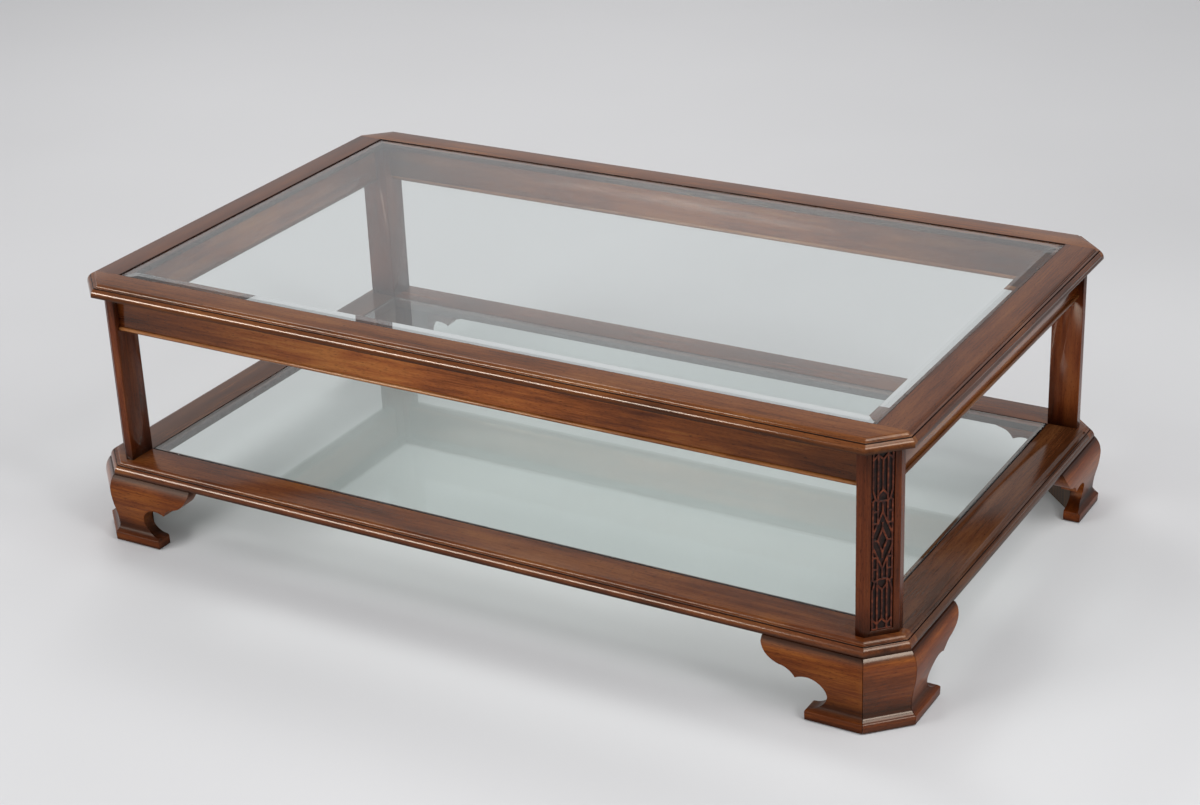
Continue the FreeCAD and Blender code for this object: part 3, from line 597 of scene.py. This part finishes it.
# Mahogany with almost no shine. All but the faces of the straps is drawn nearly black as painted
# shade of the recesses, and the faces of the straps come out a deep red brown.
def fret_mahogany(name, dark, middle, light):
    """Fretwork mahogany in the given tones, cloudy at the scale of the straps."""
    material, output = new_material(name)
    place = add_node(material, "ShaderNodeTexCoord").outputs["Object"]
    stain = add_node(material, "ShaderNodeTexNoise",
                     {"Vector": place, "Scale": 1 / mm(7), "Detail": 3.0, "Roughness": 0.55})
    colour = add_node(material, "ShaderNodeValToRGB", {"Fac": stain.outputs["Fac"]},
                      [(0.35, dark), (0.52, middle), (0.68, light)])
    shader = add_node(material, "ShaderNodeBsdfPrincipled",
                      {"Base Color": colour.outputs["Color"], "Roughness": 0.5, "Specular IOR Level": 0.1,
                       "Coat Weight": 0.25, "Coat Roughness": 0.25})
    material.node_tree.links.new(shader.outputs["BSDF"], output.inputs["Surface"])
    return material


# The dark material is painted shade; the lighter one is for the faces of the straps.
fret_in_painted_shade = fret_mahogany("mahogany, fretwork drawn dark as painted shade", "120602", "200C06", "301309")
fret_face = fret_mahogany("mahogany, fretwork, faces of the straps", "2C1009", "4E2110", "6C331B")
for corner, (end, side) in CORNERS.items():
    eased_copy("post_" + corner, "corner_post_" + corner, post_wood, POST_EASING)
    fret = eased_copy("fret_panel_" + corner, "blind_fret_" + corner, fret_in_painted_shade,
                      FRET_EASING)
    fret.data.materials.append(fret_face)
    outwards = Vector((end, side, 0)).normalized()
    face_level = max(outwards.dot(vertex.co) for vertex in fret.data.vertices)
    for face in fret.data.polygons:
        if outwards.dot(face.center) > face_level - FACE_DEPTH:
            face.material_index = 1

# ------------------------------------------------------------ Aprons and cock beads
# Mahogany boards tenoned into the posts and tongued into the top frame, each with a half-round
# cock bead glued along its lower edge.
APRON_EASING = mm(0.4)
BEAD_EASING = mm(0.3)

# The most golden boards of the table, darker towards their ends.
APRON_TONES = ("4F210A", "85471C", "A36830")
LONG_APRON_ENDS = [(0.12, "FFFFFF"), (0.42, "BCB6B2"), (0.6, "9A928E")]
SHORT_APRON_ENDS = [(0.05, "E8E4E2"), (0.33, "B0A8A4")]
apron_wood_long = lacquered_mahogany("mahogany, aprons along the table", (0, 0, 0), 8.9, *APRON_TONES,
                                     ends=LONG_APRON_ENDS, gloss=0.6)
apron_wood_short = lacquered_mahogany("mahogany, aprons across the table", (0, 0, 90), 9.4, *APRON_TONES,
                                      ends=SHORT_APRON_ENDS, gloss=0.5)

# Beads with a painted highlight along the crest, from lighter tones on those along the table, and painted
# shade in the corner above and on the underside, so that each one is drawn as a light line. Those across the
# table keep darker tones.
LONG_BEAD_PAINTED_HIGHLIGHT_TONES = ("643419", "A06434", "C28A56")
SHORT_BEAD_TONES = ("42200D", "6A3C1C", "86562E")
# Painted shade above and below the bead's crest, by height.
BEAD_PAINTED_SHADE = [(mm(346.4), "8A8280"), (mm(348.8), "D0C8C4"), (mm(350.3), "FFFFFF"), (mm(351.3), "FFFFFF"),
            (mm(352.2), "5E5452")]
bead_wood_long = lacquered_mahogany("mahogany, rubbed cock beads along the table", (0, 0, 0), 7.1,
                                    *LONG_BEAD_PAINTED_HIGHLIGHT_TONES, BEAD_PAINTED_SHADE, gloss=1.0, haze=0.2)
bead_wood_short = lacquered_mahogany("mahogany, rubbed cock beads across the table", (0, 0, 90), 6.6,
                                     *SHORT_BEAD_TONES, BEAD_PAINTED_SHADE, gloss=0.8, haze=0.26)

APRON_WOODS = {"front": (apron_wood_long, bead_wood_long), "back": (apron_wood_long, bead_wood_long),
               "left": (apron_wood_short, bead_wood_short), "right": (apron_wood_short, bead_wood_short)}
for place, (board_wood, bead_wood) in APRON_WOODS.items():
    eased_copy("apron_" + place, "apron_board_" + place, board_wood, APRON_EASING)
    eased_copy("apron_bead_" + place, "cock_bead_" + place, bead_wood, BEAD_EASING)

# ------------------------------------------------------------ Top frame
# Two long mahogany rails and two short ones, made like the shelf frame but narrower, with the
# aprons' tongues let into their undersides and a deeper rebate for the bevelled pane.
TOP_LEVEL = mm(425.4)
TOP_RAIL_WIDTH = mm(57.2)
TOP_REBATE = mm(9)

# A clear, fairly sharp polish, with painted shade under the moulding. The rails across the table take darker
# tones as painted shade.
TOP_TONES = ("3B1C0A", "643617", "7A4B24")
TOP_END_PAINTED_SHADE_TONES = ("34180B", "542C17", "683D20")
TOP_PAINTED_SHADE = [(mm(407.5), "6E6462"), (mm(410.0), "A8A09C"), (mm(412.5), "FFFFFF")]
top_wood_long = lacquered_mahogany("mahogany, top rails along the table", (0, 0, 0), 11.3,
                                   *TOP_TONES, TOP_PAINTED_SHADE)
top_wood_short = lacquered_mahogany("mahogany, top rails across the table", (0, 0, 90), 12.1,
                                    *TOP_END_PAINTED_SHADE_TONES, TOP_PAINTED_SHADE)
glazed_rails("top", TOP_LEVEL, TOP_RAIL_WIDTH, TOP_REBATE, top_wood_long, top_wood_short)

# ------------------------------------------------------------ Glass and its pads
# Clear float glass, green in its depth: an 8 mm top pane with a ground and polished bevel and a
# 6 mm shelf pane with a flat polished edge, each on small clear pads.
TOP_PANE = mm(8)
TOP_BEVEL = mm(18)
TOP_BEVEL_DEPTH = mm(1.6)
SHELF_PANE = mm(6)
SHELF_ARRIS = mm(1)
EDGE_DRAFT = mm(0.02)
PANE_EASING = mm(0.2)
PANE_ANGLE = math.radians(3)


# Polished float glass: nearly clear, with a faint green cast, sharp reflections of the room and a
# very slight waver in them. The waver's cells are half a metre wide, so it is felt more than seen.
def float_glass(name, tint):
    """Clear float glass; light for the floor and for shadows goes straight through it."""
    material, output = new_material(name)
    place = add_node(material, "ShaderNodeTexCoord").outputs["Object"]
    waver = add_node(material, "ShaderNodeTexNoise",
                     {"Vector": place, "Scale": 1 / mm(500), "Detail": 1.0, "Roughness": 0.55})
    bump = add_node(material, "ShaderNodeBump",
                    {"Height": waver.outputs["Fac"], "Strength": 0.02, "Distance": mm(1)})
    shader = add_node(material, "ShaderNodeBsdfPrincipled",
                      {"Base Color": linear(tint), "Roughness": 0.0, "IOR": 1.52, "Transmission Weight": 1.0,
                       "Normal": bump.outputs["Normal"]})
    path = add_node(material, "ShaderNodeLightPath")
    passing = add_node(material, "ShaderNodeMath", {0: path.outputs["Is Shadow Ray"],
                                                    1: path.outputs["Is Diffuse Ray"]}, operation="MAXIMUM")
    clear = add_node(material, "ShaderNodeBsdfTransparent", {"Color": linear("FAFCFB")})
    mix = add_node(material, "ShaderNodeMixShader",
                   {0: passing.outputs[0], 1: shader.outputs["BSDF"], 2: clear.outputs["BSDF"]})
    material.node_tree.links.new(mix.outputs["Shader"], output.inputs["Surface"])
    return material


def pane(name, node, body, material, profile):
    """A pane drawn up from its lower face through its ground edge."""
    low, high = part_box(node)
    form, cap = plate(high[0], high[1], 0, low[2])
    raised(form, cap, [(0, 0)] + profile)
    bmesh.ops.remove_doubles(form, verts=form.verts[:], dist=WELD)
    piece = finished(form, name, [material], body, PANE_EASING, node)
    piece.modifiers["eased edges"].angle_limit = PANE_ANGLE


pane("bevelled_top_pane", "glass_top", "top_pane", float_glass("float glass, 8 mm", "F3F8F7"),
     [(EDGE_DRAFT, TOP_PANE - TOP_BEVEL_DEPTH), (TOP_BEVEL, TOP_PANE)])
pane("shelf_pane", "glass_shelf", "shelf_pane", float_glass("float glass, 6 mm", "F0F7F5"),
     [(EDGE_DRAFT, SHELF_PANE - SHELF_ARRIS), (SHELF_ARRIS, SHELF_PANE)])

# Soft clear vinyl, mostly let through, with a faint warm haze, so that the pads hardly show.
pad_film, pad_output = new_material("clear vinyl pads")
pad_place = add_node(pad_film, "ShaderNodeTexCoord").outputs["Object"]
pad_cloud = add_node(pad_film, "ShaderNodeTexNoise",
                     {"Vector": pad_place, "Scale": 1 / mm(3), "Detail": 2.0, "Roughness": 0.55})
pad_haze = add_node(pad_film, "ShaderNodeValToRGB", {"Fac": pad_cloud.outputs["Fac"]},
                    [(0.3, "B9A59A"), (0.7, "CBBBB2")])
pad_shader = add_node(pad_film, "ShaderNodeBsdfPrincipled",
                      {"Base Color": pad_haze.outputs["Color"], "Roughness": 0.1, "IOR": 1.1,
                       "Transmission Weight": 1.0, "Alpha": 0.3})
pad_film.node_tree.links.new(pad_shader.outputs["BSDF"], pad_output.inputs["Surface"])
coated("top_glass_pads", pad_film)
coated("shelf_glass_pads", pad_film)

# ------------------------------------------------------------ Floor, light and camera
# A pale matt studio floor under an even sky. A strip box and a soft box on the left and two boxes
# on the right draw the highlights, two fills even out the floor, and the camera looks down from
# off the front right corner.
FLOOR_HALF = 40
PAPER_CLOUD = mm(900)
floor_form = bmesh.new()
bmesh.ops.create_grid(floor_form, x_segments=1, y_segments=1, size=FLOOR_HALF)
floor_mesh = bpy.data.meshes.new("studio floor")
floor_form.to_mesh(floor_mesh)
floor_form.free()
floor = bpy.data.objects.new("studio_floor", floor_mesh)
bpy.context.scene.collection.objects.link(floor)

# Matt paper: an even pale grey with no shine and only the faintest cloud in it.
paper, paper_output = new_material("matt paper floor")
paper_place = add_node(paper, "ShaderNodeTexCoord").outputs["Object"]
paper_cloud = add_node(paper, "ShaderNodeTexNoise",
                       {"Vector": paper_place, "Scale": 1 / PAPER_CLOUD, "Detail": 2.0, "Roughness": 0.55})
paper_tone = add_node(paper, "ShaderNodeValToRGB", {"Fac": paper_cloud.outputs["Fac"]},
                      [(0.3, "C9C9CA"), (0.7, "CCCCCD")])
paper_shader = add_node(paper, "ShaderNodeBsdfPrincipled",
                        {"Base Color": paper_tone.outputs["Color"], "Roughness": 0.9,
                         "Specular IOR Level": 0.1})
paper.node_tree.links.new(paper_shader.outputs["BSDF"], paper_output.inputs["Surface"])
floor_mesh.materials.append(paper)

# The sky lights the matt surfaces. The eye, the glass and the polish see a brighter backdrop instead.
world = bpy.data.worlds.new("studio")
bpy.context.scene.world = world
world.use_nodes = True
sky = world.node_tree.nodes["Background"]
sky.inputs["Color"].default_value = linear("F4F4F6")
sky.inputs["Strength"].default_value = 0.5
backdrop = add_node(world, "ShaderNodeBackground", {"Color": linear("D2D2D4"), "Strength": 1.0})
seen = add_node(world, "ShaderNodeLightPath")
through = add_node(world, "ShaderNodeMath", {0: seen.outputs["Is Camera Ray"],
                                             1: seen.outputs["Is Transmission Ray"]}, operation="MAXIMUM")
bright = add_node(world, "ShaderNodeMath", {0: through.outputs[0], 1: seen.outputs["Is Glossy Ray"]},
                  operation="MAXIMUM")
either = add_node(world, "ShaderNodeMixShader",
                  {0: bright.outputs[0], 1: sky.outputs["Background"], 2: backdrop.outputs["Background"]})
world.node_tree.links.new(either.outputs["Shader"], world.node_tree.nodes["World Output"].inputs["Surface"])


def soft_light(name, place, aim, size, watts, mirrored=True, spread=180):
    """A soft box that shines from place towards aim, with its spread in degrees narrowed by a grid.

    None is seen directly or through the glass, and one that isn't mirrored makes no highlights.
    """
    lamp = bpy.data.lights.new(name, "AREA")
    lamp.shape = "RECTANGLE"
    lamp.size, lamp.size_y = size
    lamp.energy = watts
    lamp.spread = math.radians(spread)
    holder = bpy.data.objects.new(name, lamp)
    bpy.context.scene.collection.objects.link(holder)
    holder.location = place
    holder.rotation_euler = (Vector(aim) - Vector(place)).to_track_quat("-Z", "Y").to_euler()
    holder.visible_camera = False
    holder.visible_glossy = mirrored
    holder.visible_transmission = False


soft_light("strip box, front left", (-2.38, -3.68, 1.6), (-0.18, -0.48, 0.4), (2.5, 0.5), 38, spread=100)
soft_light("soft box, back left", (-2.2, 1.7, 3.2), (-0.2, -0.4, 0.4), (1.6, 0.7), 32)
soft_light("soft box, above right", (2.1, -0.5, 2.7), (0.67, -0.4, 0.1), (1.5, 1.5), 42)
soft_light("soft box, right", (3.45, -1.5, 2.2), (0.67, -0.4, 0.4), (0.8, 0.9), 30)
soft_light("fill for the far floor", (-1.6, 2.6, 4.0), (-1.6, 3.2, 0.0), (4.0, 2.4), 50, mirrored=False)
soft_light("fill for the near floor", (1.5, -2.3, 3.0), (1.5, -2.3, 0.0), (2.4, 1.0), 5,
           mirrored=False, spread=75)

CAMERA_PLACE = (1.73318, -2.90567, 1.74105)
YAW = math.radians(-30.717)
PITCH = math.radians(24.667)
ROLL = math.radians(-2.37)
FOCAL_PIXELS = 2400.8
FRAME_PIXELS = 1200
SENSOR_WIDTH = 36.0
ahead = Vector((math.sin(YAW) * math.cos(PITCH), math.cos(YAW) * math.cos(PITCH), -math.sin(PITCH)))
level = Vector((math.cos(YAW), -math.sin(YAW), 0))
upward = level.cross(ahead)
right = level * math.cos(ROLL) + upward * math.sin(ROLL)
top = -level * math.sin(ROLL) + upward * math.cos(ROLL)
lens = bpy.data.cameras.new("camera")
lens.sensor_width = SENSOR_WIDTH
lens.lens = FOCAL_PIXELS * SENSOR_WIDTH / FRAME_PIXELS
lens.clip_start = 0.05
camera = bpy.data.objects.new("camera", lens)
bpy.context.scene.collection.objects.link(camera)
turned = Matrix((right, top, -ahead)).transposed().to_4x4()
camera.matrix_world = Matrix.Translation(CAMERA_PLACE) @ turned
bpy.context.scene.camera = camera
bpy.context.scene.view_settings.view_transform = "Standard"
